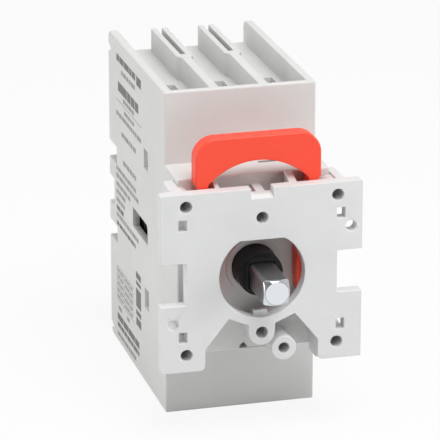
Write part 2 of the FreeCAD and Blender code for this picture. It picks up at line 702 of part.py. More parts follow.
def gap_walls():
    """Walls behind the plate along the edges of both gaps, back to the raised middle."""
    face = face_of([Vector(x, Y_PLATE_BACK - THROUGH, z) for x, z in gap_outline()])
    reach = Vector(0, PLATE_GAP + THROUGH, 0)
    outer = face.makeOffset2D(GAP_WALL).extrude(reach)
    inner = face.extrude(reach)
    limit = box(GAP_IN_X - GAP_WALL, PLATE_W / 2, Y_PLATE_BACK - THROUGH, Y_MID, PLATE_BOTTOM, PLATE_TOP)
    beside_tab = box(0, TAB_R + GAP_WALL, Y_PLATE_BACK - THROUGH, Y_MID, PLATE_BOTTOM, -CENTRE_PITCH / 2)
    wall = outer.cut(inner).common(limit).cut(beside_tab)
    return left_right(wall)


def plate_bosses():
    """Round bosses behind the six fixing holes, the web to the short tube, and the holes themselves."""
    fixing = [(x * HOLE_PITCH / 2, z * HOLE_PITCH / 2) for x in (-1, 1) for z in (-1, 1)]
    upper = (0.0, CENTRE_PITCH / 2)
    tab = (0.0, -CENTRE_PITCH / 2)
    bosses = [rod_y(x, z, HOLE_R + BOSS_WALL, Y_PLATE_BACK, Y_MID) for x, z in fixing + [upper]]
    bosses.append(rod_y(tab[0], tab[1], HOLE_R + TAB_BOSS_WALL, Y_PLATE_BACK, Y_MID))
    holes = [rod_y(x, z, HOLE_R, Y_PLATE - THROUGH, Y_MID) for x, z in fixing + [upper, tab]]
    stem = box(0, TAB_R, Y_PLATE_BACK, Y_MID, TUBE_Z, -CENTRE_PITCH / 2)
    tube = rod_y(TUBE_X, TUBE_Z, TUBE_R, Y_PLATE, Y_MID)
    bore = rod_y(TUBE_X, TUBE_Z, TUBE_BORE_R, Y_PLATE - THROUGH, Y_MID)
    return bosses + [stem, tube], holes + [bore]


def plate_arms():
    """Four side arms that grip the raised middle, and two hooks over its top edge."""
    x0 = HALF_W + FIT
    y1 = Y_PLATE_BACK + ARM_L
    arm = prism_y([(x0, ARM_IN_Z), (ARM_OUT, ARM_IN_Z), (ARM_OUT, PLATE_TOP - EDGE_ROUND),
                   (ARM_OUT - EDGE_ROUND, PLATE_TOP), (x0, PLATE_TOP)], Y_PLATE_BACK, y1)
    guide_x = SLIDER_W / 2 - SLIDER_WAIST + SLIDE
    guide = box(guide_x, guide_x + GUIDE_W, Y_PLATE_BACK, Y_MID, GUIDE_BOTTOM, GUIDE_TOP)
    low = PLATE_TOP - HOOK_H
    hooks = []
    for x, width, top in ((HOOK_LEFT_X, HOOK_LEFT_W, HOOK_LEFT_TOP), (HOOK_RIGHT_X, HOOK_RIGHT_W, HOOK_RIGHT_TOP)):
        side = [(Y_PLATE_BACK, low), (Y_PLATE_BACK, PLATE_TOP), (Y_MID - THROUGH, top), (Y_MID, top), (Y_MID, low)]
        hooks.append(prism_x(side, x - width / 2, x + width / 2))
    return four_ways(arm) + left_right(guide) + hooks


def door_plate():
    """The front adapter that screws to a panel or door, with the round opening for the shaft."""
    bosses, holes = plate_bosses()
    opening = rod_y(0, 0, OPENING_R, Y_PLATE - THROUGH, Y_PLATE_BACK + THROUGH)
    flat = box(-OPENING_R, OPENING_R, Y_PLATE - 2 * THROUGH, Y_PLATE_BACK + 2 * THROUGH,
               OPENING_FLAT, OPENING_R + THROUGH)
    holes.append(opening.cut(flat))
    square = box(SQUARE_HOLE_X - SQUARE_HOLE_W / 2, SQUARE_HOLE_X + SQUARE_HOLE_W / 2, Y_PLATE - THROUGH,
                 Y_PLATE_BACK + THROUGH, SQUARE_HOLE_Z - SQUARE_HOLE_H / 2, SQUARE_HOLE_Z + SQUARE_HOLE_H / 2)
    holes += four_ways(square)
    holes.append(rod_y(EXTRA_HOLE_X, EXTRA_HOLE_Z, EXTRA_HOLE_R, Y_PLATE - THROUGH, Y_PLATE_BACK + THROUGH))
    holes.append(rod_y(-EXTRA_HOLE_X, -EXTRA_HOLE_Z, EXTRA_HOLE_R, Y_PLATE - THROUGH, Y_PLATE + DIMPLE_DEPTH))
    holes.append(box(-PLATE_W / 2 - THROUGH, -PLATE_W / 2 + EDGE_SLOT_D, Y_PLATE + EDGE_SLOT_LIP,
                     Y_PLATE_BACK + THROUGH, EDGE_SLOT_Z - EDGE_SLOT_H / 2, EDGE_SLOT_Z + EDGE_SLOT_H / 2))
    floor_z = PLATE_TOP - TOP_NOTCH_D
    notch = [(Y_PLATE - THROUGH, floor_z - TOP_NOTCH_CHAMFER - THROUGH), (Y_PLATE + TOP_NOTCH_CHAMFER, floor_z),
             (Y_PLATE_BACK + FIT, floor_z), (Y_PLATE_BACK + FIT, PLATE_TOP + THROUGH),
             (Y_PLATE - THROUGH, PLATE_TOP + THROUGH)]
    holes.append(prism_x(notch, -TOP_NOTCH_W / 2, TOP_NOTCH_W / 2))
    tongue = prism_x([(Y_PLATE_BACK, floor_z), (Y_MID, floor_z + TONGUE_RISE), (Y_MID, floor_z - TONGUE_T),
                      (Y_PLATE_BACK, floor_z - TONGUE_T)], TONGUE_X - TONGUE_W / 2, TONGUE_X + TONGUE_W / 2)
    nib = box(-NIB_W / 2, NIB_W / 2, Y_PLATE_BACK - NIB_T, Y_PLATE_BACK, -OPENING_R - FIT, NIB_TOP)
    plate = join([plate_sheet()] + gap_walls() + bosses + plate_arms())
    return join([cut(plate, holes), tongue, nib])


def slider_outline():
    """Front view of the slider as a closed wire: outer arch, legs, and the finger arch inside."""
    half = SLIDER_W / 2
    foot_x = half - ARCH_SHOULDER
    foot_z = ARCH_TOP - ARCH_R + math.sqrt(ARCH_R ** 2 - foot_x ** 2)
    window_z = PLATE_TOP - HOOK_H - SLIDER_LIFT - HOOK_MARGIN
    inner_x = LEG_INNER + LEG_BULGE
    right = [(foot_x, foot_z), (LEG_WINDOW_X, window_z + LEG_WINDOW_SIDE), (LEG_WINDOW_X, window_z),
             (inner_x, LEG_INNER_TOP)]
    waist = half - SLIDER_WAIST
    tip = [((LEG_INNER + LEG_OUTER) / 2, LEG_BOTTOM), (LEG_OUTER, LEG_BOTTOM + LEG_TAPER),
           (LEG_OUTER, LEG_OUTER_TOP), (waist, SLIDER_SIDE_LOW), (waist, SLIDER_WAIST_LOW),
           (half, SLIDER_WAIST_TOP), (half, SLIDER_TOP)]
    y = slider_front()

    def at(x, z):
        return Vector(x, y, z)

    edges = [Part.Arc(at(-foot_x, foot_z), at(0, ARCH_TOP), at(foot_x, foot_z)).toShape()]
    for side in (1, -1):
        points = [at(side * x, z) for x, z in right]
        edges += [Part.LineSegment(a, b).toShape() for a, b in zip(points, points[1:])]
        low = at(side * inner_x, LEG_INNER_LOW)
        middle = at(side * LEG_INNER, (LEG_INNER_TOP + LEG_INNER_LOW) / 2)
        edges.append(Part.Arc(points[-1], middle, low).toShape())
        outer = [low] + [at(side * x, z) for x, z in tip]
        edges += [Part.LineSegment(a, b).toShape() for a, b in zip(outer, outer[1:])]
    edges.append(Part.LineSegment(at(half, SLIDER_TOP), at(-half, SLIDER_TOP)).toShape())
    return Part.Wire(Part.__sortEdges__(edges))


def slider_front():
    return Y_MID - SLIDE - SLIDER_T


def release_slider():
    """Red release slider: a finger arch above the plate and a leg down each side of the rotor."""
    body = Part.Face(slider_outline()).extrude(Vector(0, SLIDER_T, 0))
    return round_edges(body, SLIDER_CORNER, Y_AXIS, lambda p: p.z > SLIDER_TOP - FIT)


def rail_hook():
    """The fixed upper hooks behind the rail's top flange, and the two ridges held in the body's grooves."""
    gap = RAIL_FLANGE + LOOSE
    edge = RAIL_H / 2 + LOOSE
    lip = gap + RAIL_HOOK_LIP
    side = [(-FIT, edge), (gap, edge), (gap, edge - RAIL_HOOK_REACH),
            (gap + RAIL_HOOK_LIP / 2, edge - RAIL_HOOK_REACH), (lip, edge - RAIL_HOOK_REACH / 2),
            (lip, FOOT_TOP), (-FIT, FOOT_TOP)]
    parts = left_right(prism_x(side, FOOT_W / 2 - RAIL_HOOK_W, FOOT_W / 2))
    for low, high in ((GROOVE_IN, GROOVE_OUT), (-GROOVE_OUT, -GROOVE_IN)):
        parts.append(box(-FOOT_W / 2, FOOT_W / 2, Y_REAR - GROOVE_D + LOOSE, Y_REAR + FIT,
                         SIDE_MID_Z + low + FIT, SIDE_MID_Z + high - FIT))
    return parts


def din_foot():
    """Foot between the body and the rail, with the latch's dovetail channel and its spring peg."""
    base = box(-FOOT_W / 2, FOOT_W / 2, Y_REAR, 0, FOOT_BOTTOM, FOOT_TOP)
    base = round_edges(base, EDGE_ROUND, Y_AXIS, anywhere)
    half = LATCH_W / 2 + SLIDE
    y0 = Y_REAR + FOOT_FLOOR
    top = -RAIL_H / 2 + RAIL_HOOK_REACH + LOOSE
    channel = box(-half, half, y0, THROUGH, FOOT_BOTTOM - THROUGH, top)
    undercut = box(-half - LATCH_TONGUE, half + LATCH_TONGUE, y0, y0 + LATCH_TONGUE + 2 * SLIDE,
                   FOOT_BOTTOM - THROUGH, top)
    foot = cut(join([base] + rail_hook()), [channel, undercut])
    peg_half = LATCH_SPRING_R + LATCH_SPRING_WIRE
    peg = box(-peg_half, peg_half, y0 - FIT, y0 + LATCH_T, peg_z(), peg_z() + PEG_H)
    return join([foot, peg])


def latch_top():
    return -RAIL_H / 2 - LOOSE


def peg_z():
    return latch_top() - LATCH_WEB - LATCH_SPRING_L - PEG_H


def din_latch():
    """The sprung lower latch: a sliding plate with side tongues, a nose behind the rail and a tool eye."""
    half = LATCH_W / 2
    y0 = Y_REAR + FOOT_FLOOR + SLIDE
    y1 = y0 + LATCH_T
    plate = box(-half, half, y0, y1, LATCH_BOTTOM, latch_top())
    tongue = box(-half - LATCH_TONGUE, half + LATCH_TONGUE, y0, y0 + LATCH_TONGUE, FOOT_BOTTOM, latch_top())
    gap = RAIL_FLANGE + LOOSE
    top = latch_top()
    lip = gap + RAIL_HOOK_LIP
    nose = prism_x([(y1 - FIT, top), (gap, top), (gap, top + RAIL_HOOK_REACH),
                    (gap + RAIL_HOOK_LIP / 2, top + RAIL_HOOK_REACH), (lip, top + RAIL_HOOK_REACH / 2),
                    (lip, top - LATCH_NOSE_ROOT), (y1 - FIT, top - LATCH_NOSE_ROOT - RAIL_FLANGE)], -half, half)
    width = LATCH_SPRING_R + LATCH_SPRING_WIRE + LOOSE
    window = box(-width, width, y0 - THROUGH, y1, peg_z(), peg_z() + PEG_H + LATCH_SPRING_L)
    eye = box(-EYE_W / 2, EYE_W / 2, y0 - THROUGH, y1 + THROUGH, LATCH_BOTTOM + EYE_WALL,
              LATCH_BOTTOM + EYE_WALL + EYE_H)
    return cut(join([plate, tongue, nose]), [window, eye])


def latch_spring():
    y = Y_REAR + FOOT_FLOOR + SLIDE + LATCH_T / 2
    start = Vector(0, y, peg_z() + PEG_H)
    return coil(LATCH_SPRING_R, LATCH_SPRING_WIRE, SPRING_TURNS, LATCH_SPRING_L, start, Z_AXIS)


def all_parts():
    parts = {
        "main_housing": main_housing(),
        "front_cover": front_cover(),
        "door_plate": door_plate(),
        "release_slider": release_slider(),
        "rotor": rotor(),
        "shaft": shaft(),
        "shaft_pin": shaft_pin(),
        "contact_carriage": contact_carriage(),
        "din_foot": din_foot(),
        "din_latch": din_latch(),
        "latch_spring": latch_spring(),
    }
    screws = []
    for number, pole in enumerate(POLES, 1):
        parts["bridge_contact_%d" % number] = bridge_contact(pole)
        parts["contact_spring_%d" % number] = contact_spring(pole)
        contact = fixed_contact(pole)
        clamp = clamp_plate(pole)
        screw = terminal_screw(pole)
        parts["line_contact_%d" % number] = contact
        parts["load_contact_%d" % number] = mirror_z(contact)
        parts["line_clamp_%d" % number] = clamp
        parts["load_clamp_%d" % number] = mirror_z(clamp)
        screws += top_bottom(screw)
    parts["terminal_screws"] = Part.makeCompound(screws)
    return parts


os.makedirs("parts", exist_ok=True)
for name, shape in all_parts().items():
    shape.exportStep(os.path.join("parts", name + ".step"))
    print(name, len(shape.Solids), round(shape.Volume, 1), shape.isValid())
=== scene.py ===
import json
import math

import bmesh
import bpy
import numpy as np
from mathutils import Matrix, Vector


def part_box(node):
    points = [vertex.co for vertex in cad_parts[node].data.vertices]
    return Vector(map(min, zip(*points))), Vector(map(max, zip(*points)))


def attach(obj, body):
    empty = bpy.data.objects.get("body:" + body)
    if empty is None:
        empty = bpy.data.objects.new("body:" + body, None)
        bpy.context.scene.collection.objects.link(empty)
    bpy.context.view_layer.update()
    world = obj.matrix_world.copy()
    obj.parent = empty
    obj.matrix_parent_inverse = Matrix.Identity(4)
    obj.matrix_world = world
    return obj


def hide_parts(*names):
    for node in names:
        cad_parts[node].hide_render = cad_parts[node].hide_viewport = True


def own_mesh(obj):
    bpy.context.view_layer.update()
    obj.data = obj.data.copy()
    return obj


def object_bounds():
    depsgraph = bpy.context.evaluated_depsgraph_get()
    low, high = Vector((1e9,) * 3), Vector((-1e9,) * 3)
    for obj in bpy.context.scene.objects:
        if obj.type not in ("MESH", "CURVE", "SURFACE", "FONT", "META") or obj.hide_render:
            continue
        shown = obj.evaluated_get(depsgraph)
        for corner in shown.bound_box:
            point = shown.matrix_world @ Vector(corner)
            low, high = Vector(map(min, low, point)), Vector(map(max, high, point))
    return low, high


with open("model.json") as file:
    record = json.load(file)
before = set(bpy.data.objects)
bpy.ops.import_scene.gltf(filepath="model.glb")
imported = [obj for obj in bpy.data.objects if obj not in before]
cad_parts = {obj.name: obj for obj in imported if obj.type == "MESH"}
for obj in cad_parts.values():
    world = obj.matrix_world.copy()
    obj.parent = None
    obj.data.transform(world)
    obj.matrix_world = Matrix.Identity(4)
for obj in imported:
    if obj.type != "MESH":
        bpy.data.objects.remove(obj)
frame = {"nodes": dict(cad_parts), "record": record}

bl_info = {
    "name": "Rotary switch disconnector",
    "version": (1, 0, 0),
    "blender": (4, 5, 0),
    "location": "View3D > Sidebar > Disconnector",
    "description": "Finishes the moulded, steel and copper parts of a small rotary switch disconnector",
    "category": "Object",
}

CAD_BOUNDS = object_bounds()
MM = 0.001
RECORD = frame["record"]
BODY_OF_NODE = {node: body for body, nodes in RECORD["behaviour"]["bodies"].items() for node in nodes}

MERGE_DISTANCE = 0.0005 * MM
SHARP_ANGLE = math.radians(35.0)
IN_LINE = -0.85
ROOM_SHARE = 3.0
LEAST_WEIGHT = 0.02
SHAFT_CORNER = 0.7 * MM
SHAFT_END_DISH = 0.12 * MM
TURNED_DEPTH = 1.2 * MM
# Half width of the painted shadow line round the shaft's flat end face.
SHADOW_LINE_HALF = 0.07 * MM
LATCH_WIRE_R = 0.3 * MM
LATCH_COIL_TURNS = 4
FLOOR_HALF = 2.0
FLOOR_DROP = 0.02 * MM

# Places of the colour sockets of a Mix node, which carry the same names as its other sockets.
MIX_LOW, MIX_HIGH, MIX_RESULT = 6, 7, 2

# Each light's offset from the part's middle and its size, in metres.
LIGHT_ABOVE = ((0.05, -0.35, 0.75), 0.6)
LIGHT_LEFT = ((-0.80, 0.05, 0.25), 0.6)
LIGHT_RIGHT = ((0.65, -0.50, 0.20), 0.5)


class MouldedSettings(bpy.types.PropertyGroup):
    """Colours and surface of the plastic parts."""
    body_colour: bpy.props.FloatVectorProperty(
        name="Body", description="Light grey of the housing and the cover", subtype="COLOR", size=3,
        min=0.0, max=1.0, default=(0.685, 0.686, 0.672))
    plate_colour: bpy.props.FloatVectorProperty(
        name="Front plate", description="Slightly whiter grey of the front plate", subtype="COLOR", size=3,
        min=0.0, max=1.0, default=(0.715, 0.718, 0.720))
    slider_colour: bpy.props.FloatVectorProperty(
        name="Release slider", description="Orange red of the slider", subtype="COLOR", size=3,
        min=0.0, max=1.0, default=(0.95, 0.068, 0.028))
    rotor_colour: bpy.props.FloatVectorProperty(
        name="Rotor", description="Black of the rotor, the carriage and the latch", subtype="COLOR", size=3,
        min=0.0, max=1.0, default=(0.010, 0.010, 0.010))
    edge: bpy.props.FloatProperty(
        name="Edge", description="Softening of every moulded edge", unit="LENGTH", min=0.0, max=0.5 * MM,
        default=0.16 * MM)
    grain: bpy.props.FloatProperty(
        name="Grain", description="Size of the mould's spark grain", unit="LENGTH", min=0.05 * MM,
        max=2.0 * MM, default=0.30 * MM)


class MetalSettings(bpy.types.PropertyGroup):
    """Colours of the steel and copper parts."""
    shaft_colour: bpy.props.FloatVectorProperty(
        name="Shaft sides", description="Dull grey of the drawn bar", subtype="COLOR", size=3,
        min=0.0, max=1.0, default=(0.265, 0.275, 0.285))
    # Bright end against dull sides: partly the steel's own finish, partly a painted reflection on the end.
    end_colour: bpy.props.FloatVectorProperty(
        name="Shaft end", description="Bright turned end", subtype="COLOR", size=3,
        min=0.0, max=1.0, default=(0.76, 0.79, 0.82))
    end_share: bpy.props.FloatProperty(
        name="End face", description="Radius of the shaft's flat end, as a share of half the bar's width",
        min=0.5, max=1.0, default=14.0 / 15.0)
    zinc_colour: bpy.props.FloatVectorProperty(
        name="Zinc plating", description="Screws and clamp plates", subtype="COLOR", size=3,
        min=0.0, max=1.0, default=(0.60, 0.61, 0.60))
    copper_colour: bpy.props.FloatVectorProperty(
        name="Copper", description="Contact strips and bridges", subtype="COLOR", size=3,
        min=0.0, max=1.0, default=(0.78, 0.40, 0.26))
    edge: bpy.props.FloatProperty(
        name="Burr", description="Softening of every cut metal edge", unit="LENGTH", min=0.0, max=0.3 * MM,
        default=0.08 * MM)


class PrintSettings(bpy.types.PropertyGroup):
    """Pad print on the left side, as plain bars and simple shapes."""
    bold_colour: bpy.props.FloatVectorProperty(
        name="Bold ink", description="Ink of the large bars", subtype="COLOR", size=3,
        min=0.0, max=1.0, default=(0.17, 0.17, 0.165))
    fine_colour: bpy.props.FloatVectorProperty(
        name="Fine ink", description="Ink of the small bars", subtype="COLOR", size=3,
        min=0.0, max=1.0, default=(0.30, 0.30, 0.29))
    film: bpy.props.FloatProperty(
        name="Ink film", description="How far the ink stands off the wall", unit="LENGTH", min=0.005 * MM,
        max=0.1 * MM, default=0.02 * MM)
    word_gap: bpy.props.FloatProperty(
        name="Gap", description="Gap between two bars of a row", unit="LENGTH", min=0.1 * MM, max=2.0 * MM,
        default=0.45 * MM)
    seed: bpy.props.IntProperty(name="Seed", description="Picks the lengths of the bars", default=11)


class StageSettings(bpy.types.PropertyGroup):
    """Floor, light and camera."""
    floor_colour: bpy.props.FloatVectorProperty(
        name="Floor", description="Pale floor", subtype="COLOR", size=3, min=0.0, max=1.0,
        default=(0.76, 0.76, 0.76))
    floor_glow: bpy.props.FloatProperty(
        name="Floor glow", description="Share of the floor that the camera sees as plain white", min=0.0,
        max=1.0, default=0.87)
    world_level: bpy.props.FloatProperty(
        name="Sky level", description="Strength of the even light from all round", min=0.0, default=0.62)
    dark_side: bpy.props.FloatProperty(
        name="Camera side", description="Share of the sky's light that is left where the camera stands",
        min=0.0, max=1.0, default=0.12)
    key_power: bpy.props.FloatProperty(
        name="Light above", description="Power of the large light above", unit="POWER", min=0.0, default=4.9)
    left_power: bpy.props.FloatProperty(
        name="Light at the left", description="Power of the soft light at the left", unit="POWER", min=0.0,
        default=2.1)
    right_power: bpy.props.FloatProperty(
        name="Light at the right", description="Power of the soft light at the front right", unit="POWER",
        min=0.0, default=1.9)
    azimuth: bpy.props.FloatProperty(
        name="Azimuth", description="Camera angle round the part", subtype="ANGLE",
        default=math.radians(-15.05))
    elevation: bpy.props.FloatProperty(
        name="Elevation", description="Camera angle above the part", subtype="ANGLE",
        default=math.radians(19.0))
    distance: bpy.props.FloatProperty(
        name="Distance", description="Camera to the point that it looks at", unit="LENGTH",
        default=747.7 * MM)
    target: bpy.props.FloatVectorProperty(
        name="Target", description="Point that the camera looks at", subtype="TRANSLATION", size=3,
        default=(-4.92 * MM, -61.0 * MM, 7.58 * MM))
    lens: bpy.props.FloatProperty(
        name="Lens", description="Focal length on a 36 mm sensor", subtype="DISTANCE_CAMERA", default=261.5)


class DisconnectorSettings(bpy.types.PropertyGroup):
    """All settings of the part."""
    moulded: bpy.props.PointerProperty(type=MouldedSettings)
    metal: bpy.props.PointerProperty(type=MetalSettings)
    ink: bpy.props.PointerProperty(type=PrintSettings)
    stage: bpy.props.PointerProperty(type=StageSettings)


def settings():
    """The settings of the part, which the open scene holds."""
    return bpy.context.scene.disconnector


def add_node(tree, kind, options=None, **inputs):
    """A shader node with its options and its unlinked inputs set; underscores in a name stand for spaces."""
    node = tree.nodes.new(kind)
    for key, value in (options or {}).items():
        setattr(node, key, value)
    for key, value in inputs.items():
        node.inputs[key.replace("_", " ")].default_value = value
    return node


def new_material(name):
    """A material with its node tree and its shader."""
    material = bpy.data.materials.new(name)
    material.use_nodes = True
    return material, material.node_tree, material.node_tree.nodes["Principled BSDF"]


def ramp_between(tree, factor, low, high, start=0.0, end=1.0):
    """Colour that goes from low to high while factor goes from start to end."""
    ramp = add_node(tree, "ShaderNodeValToRGB")
    ramp.color_ramp.elements[0].position = start
    ramp.color_ramp.elements[0].color = (*low, 1.0)
    ramp.color_ramp.elements[1].position = end
    ramp.color_ramp.elements[1].color = (*high, 1.0)
    tree.links.new(factor, ramp.inputs["Fac"])
    return ramp.outputs["Color"]


def level_between(tree, factor, low, high):
    """Number that goes from low to high while factor goes from 0.3 to 0.7, the noise's usual reach."""
    node = add_node(tree, "ShaderNodeMapRange", From_Min=0.3, From_Max=0.7, To_Min=low, To_Max=high)
    tree.links.new(factor, node.inputs["Value"])
    return node.outputs["Result"]


def moulded_plastic(name, colour, roughness, mottle=0.02, relief=0.010 * MM, shine=0.5):
    """Spark-grained moulded plastic: faint clouds of tone, a fine pebbled bump and uneven gloss."""
    material, tree, shader = new_material(name)
    place = add_node(tree, "ShaderNodeTexCoord").outputs["Object"]
    clouds = add_node(tree, "ShaderNodeTexNoise", Scale=70.0, Detail=4.0, Roughness=0.6)
    grain = add_node(tree, "ShaderNodeTexNoise", Scale=1.0 / settings().moulded.grain, Detail=2.0)
    wipe = add_node(tree, "ShaderNodeTexNoise", Scale=350.0, Detail=3.0)
    for texture in (clouds, grain, wipe):
        tree.links.new(place, texture.inputs["Vector"])
    low = [channel * (1.0 - mottle) for channel in colour]
    high = [min(1.0, channel * (1.0 + mottle)) for channel in colour]
    tone = ramp_between(tree, clouds.outputs["Fac"], low, high, 0.35, 0.65)
    tree.links.new(tone, shader.inputs["Base Color"])
    tree.links.new(level_between(tree, wipe.outputs["Fac"], roughness - 0.05, roughness + 0.05),
                   shader.inputs["Roughness"])
    bump = add_node(tree, "ShaderNodeBump", Strength=0.5, Distance=relief)
    tree.links.new(grain.outputs["Fac"], bump.inputs["Height"])
    tree.links.new(bump.outputs["Normal"], shader.inputs["Normal"])
    shader.inputs["IOR"].default_value = 1.5
    shader.inputs["Specular IOR Level"].default_value = shine
    return material


def plated_metal(name, colour, roughness, spread=0.08, scale=900.0, relief=0.004 * MM):
    """Stamped or plated metal: uneven tone and gloss in small patches, with a faint rolled bump."""
    material, tree, shader = new_material(name)
    place = add_node(tree, "ShaderNodeTexCoord").outputs["Object"]
    patches = add_node(tree, "ShaderNodeTexNoise", Scale=scale, Detail=5.0, Roughness=0.65)
    tree.links.new(place, patches.inputs["Vector"])
    low = [channel * (1.0 - spread) for channel in colour]
    high = [min(1.0, channel * (1.0 + spread)) for channel in colour]
    tone = ramp_between(tree, patches.outputs["Fac"], low, high, 0.35, 0.65)
    tree.links.new(tone, shader.inputs["Base Color"])
    tree.links.new(level_between(tree, patches.outputs["Fac"], roughness - 0.06, roughness + 0.06),
                   shader.inputs["Roughness"])
    bump = add_node(tree, "ShaderNodeBump", Strength=0.4, Distance=relief)
    tree.links.new(patches.outputs["Fac"], bump.inputs["Height"])
    tree.links.new(bump.outputs["Normal"], shader.inputs["Normal"])
    shader.inputs["Metallic"].default_value = 1.0
    return material


def drawn_bar(name, side_colour, end_colour, end_y, face_r):
    """Square bar: dull sides with draw marks along Y, and a bright turned end, its brightness partly a
    painted reflection.

    The end starts in front of end_y. It has fine rings, and a thin painted shadow line round its flat face,
    a dark ring where the distance from the bar's axis is face_r.
    """
    material, tree, shader = new_material(name)
    place = add_node(tree, "ShaderNodeTexCoord").outputs["Object"]
    axes = add_node(tree, "ShaderNodeSeparateXYZ")
    tree.links.new(place, axes.inputs["Vector"])
    front = add_node(tree, "ShaderNodeMapRange", From_Min=end_y + 0.05 * MM, From_Max=end_y - 0.05 * MM)
    tree.links.new(axes.outputs["Y"], front.inputs["Value"])
    flat = add_node(tree, "ShaderNodeVectorMath", {"operation": "MULTIPLY"})
    flat.inputs[1].default_value = (1.0, 0.0, 1.0)
    tree.links.new(place, flat.inputs[0])
    reach = add_node(tree, "ShaderNodeVectorMath", {"operation": "LENGTH"})
    tree.links.new(flat.outputs["Vector"], reach.inputs[0])
    # Painted shadow: a thin dark ring at radius face_r on the end stands in for the shadow along the flat
    # face's edge.
    on_shadow_line = add_node(tree, "ShaderNodeMath", {"operation": "COMPARE"})
    on_shadow_line.inputs[1].default_value = face_r
    on_shadow_line.inputs[2].default_value = SHADOW_LINE_HALF
    tree.links.new(reach.outputs["Value"], on_shadow_line.inputs[0])
    shadow_line_colour = [channel * 0.45 for channel in end_colour]
    face = ramp_between(tree, on_shadow_line.outputs["Value"], end_colour, shadow_line_colour)
    # Bright end against dull sides: partly the steel's own finish, partly a painted reflection on the end.
    mix = add_node(tree, "ShaderNodeMix", {"data_type": "RGBA"})
    tree.links.new(front.outputs["Result"], mix.inputs["Factor"])
    mix.inputs[MIX_LOW].default_value = (*side_colour, 1.0)
    tree.links.new(face, mix.inputs[MIX_HIGH])
    tree.links.new(mix.outputs[MIX_RESULT], shader.inputs["Base Color"])
    stretch = add_node(tree, "ShaderNodeMapping", Scale=(1.0, 0.03, 1.0))
    tree.links.new(place, stretch.inputs["Vector"])
    marks = add_node(tree, "ShaderNodeTexNoise", Scale=4000.0, Detail=3.0)
    tree.links.new(stretch.outputs["Vector"], marks.inputs["Vector"])
    gloss = add_node(tree, "ShaderNodeMapRange", To_Min=0.34, To_Max=0.16)
    tree.links.new(front.outputs["Result"], gloss.inputs["Value"])
    tree.links.new(gloss.outputs["Result"], shader.inputs["Roughness"])
    rings = add_node(tree, "ShaderNodeTexWave", {"wave_type": "RINGS", "rings_direction": "Y"},
                     Scale=1300.0, Distortion=0.4)
    tree.links.new(place, rings.inputs["Vector"])
    lathe = add_node(tree, "ShaderNodeBump", Strength=0.25, Distance=0.002 * MM)
    tree.links.new(rings.outputs["Fac"], lathe.inputs["Height"])
    draw = add_node(tree, "ShaderNodeBump", Strength=0.5, Distance=0.004 * MM)
    tree.links.new(marks.outputs["Fac"], draw.inputs["Height"])
    tree.links.new(lathe.outputs["Normal"], draw.inputs["Normal"])
    tree.links.new(draw.outputs["Normal"], shader.inputs["Normal"])
    shader.inputs["Metallic"].default_value = 1.0
    return material


def ink_material(name, colour):
    """Matt pad-print ink, a little uneven where the pad lifted."""
    material, tree, shader = new_material(name)
    place = add_node(tree, "ShaderNodeTexCoord").outputs["Object"]
    patches = add_node(tree, "ShaderNodeTexNoise", Scale=2500.0, Detail=3.0)
    tree.links.new(place, patches.inputs["Vector"])
    high = [channel * 1.25 for channel in colour]
    tone = ramp_between(tree, patches.outputs["Fac"], colour, high, 0.4, 0.7)
    tree.links.new(tone, shader.inputs["Base Color"])
    shader.inputs["Roughness"].default_value = 0.7
    return material


def link_piece(mesh, name, material, node):
    """Puts a mesh in the scene as a piece that rides on, and stands for, one node of the part."""
    mesh.materials.clear()
    mesh.materials.append(material)
    piece = bpy.data.objects.new(name, mesh)
    bpy.context.scene.collection.objects.link(piece)
    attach(piece, BODY_OF_NODE[node])
    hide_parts(node)
    return piece


def carries_on(edge, other, corner):
    """Whether another edge goes on from this one past their shared corner, nearly in line with it."""
    runs = [(each.other_vert(corner).co - corner.co).normalized() for each in (edge, other)]
    return runs[0].dot(runs[1]) < IN_LINE


def room_beside(edge, sharp):
    """Length of the shortest sharp edge that turns off at either end, or the edge's own if none goes on."""
    room = math.inf
    for corner in edge.verts:
        others = [other for other in corner.link_edges if other is not edge and other in sharp]
        turning = [other for other in others if not carries_on(edge, other, corner)]
        room = min([room] + [other.calc_length() for other in turning])
        if len(turning) == len(others):
            room = min(room, edge.calc_length())
    return room


def bevel_weights(work, width):
    """Share of a bevel's width that each sharp edge has room for; a run takes the least of its edges."""
    sharp = {edge for edge in work.edges
             if len(edge.link_faces) == 2 and edge.calc_face_angle() > SHARP_ANGLE}
    wanted = ROOM_SHARE * width
    weight = {edge: min(1.0, max(LEAST_WEIGHT, room_beside(edge, sharp) / wanted)) for edge in sharp}
    waiting = sorted(sharp, key=lambda edge: weight[edge])
    while waiting:
        edge = waiting.pop()
        for corner in edge.verts:
            for other in corner.link_edges:
                if other in sharp and other is not edge and weight[other] > weight[edge] \
                        and carries_on(edge, other, corner):
                    weight[other] = weight[edge]
                    waiting.append(other)
    work.edges.index_update()
    values = np.zeros(len(work.edges), np.float32)
    for edge in sharp:
        values[edge.index] = weight[edge]
    return values


def softened_copy(node, material, edge):
    """A node's own shape, its doubled points merged and every sharp edge softened as far as it has room."""
    mesh = frame["nodes"][node].data.copy()
    mesh.name = node + "_finish"
    work = bmesh.new()
    work.from_mesh(mesh)
    bmesh.ops.remove_doubles(work, verts=work.verts, dist=MERGE_DISTANCE)
    weights = bevel_weights(work, edge) if edge > 0.0 else None
    work.to_mesh(mesh)
    work.free()
    mesh.polygons.foreach_set("use_smooth", np.ones(len(mesh.polygons), bool))
    mesh.set_sharp_from_angle(angle=SHARP_ANGLE)
    piece = link_piece(mesh, node + "_finish", material, node)
    if weights is not None:
        mesh.attributes.new("bevel_weight_edge", "FLOAT", "EDGE").data.foreach_set("value", weights)
        bevel = piece.modifiers.new("edges", "BEVEL")
        bevel.width = edge
        bevel.segments = 2
        bevel.limit_method = "WEIGHT"
        bevel.use_clamp_overlap = False
        bevel.loop_slide = False
        shading = piece.modifiers.new("even_shading", "WEIGHTED_NORMAL")
        shading.weight = 80
        shading.keep_sharp = True
    return piece


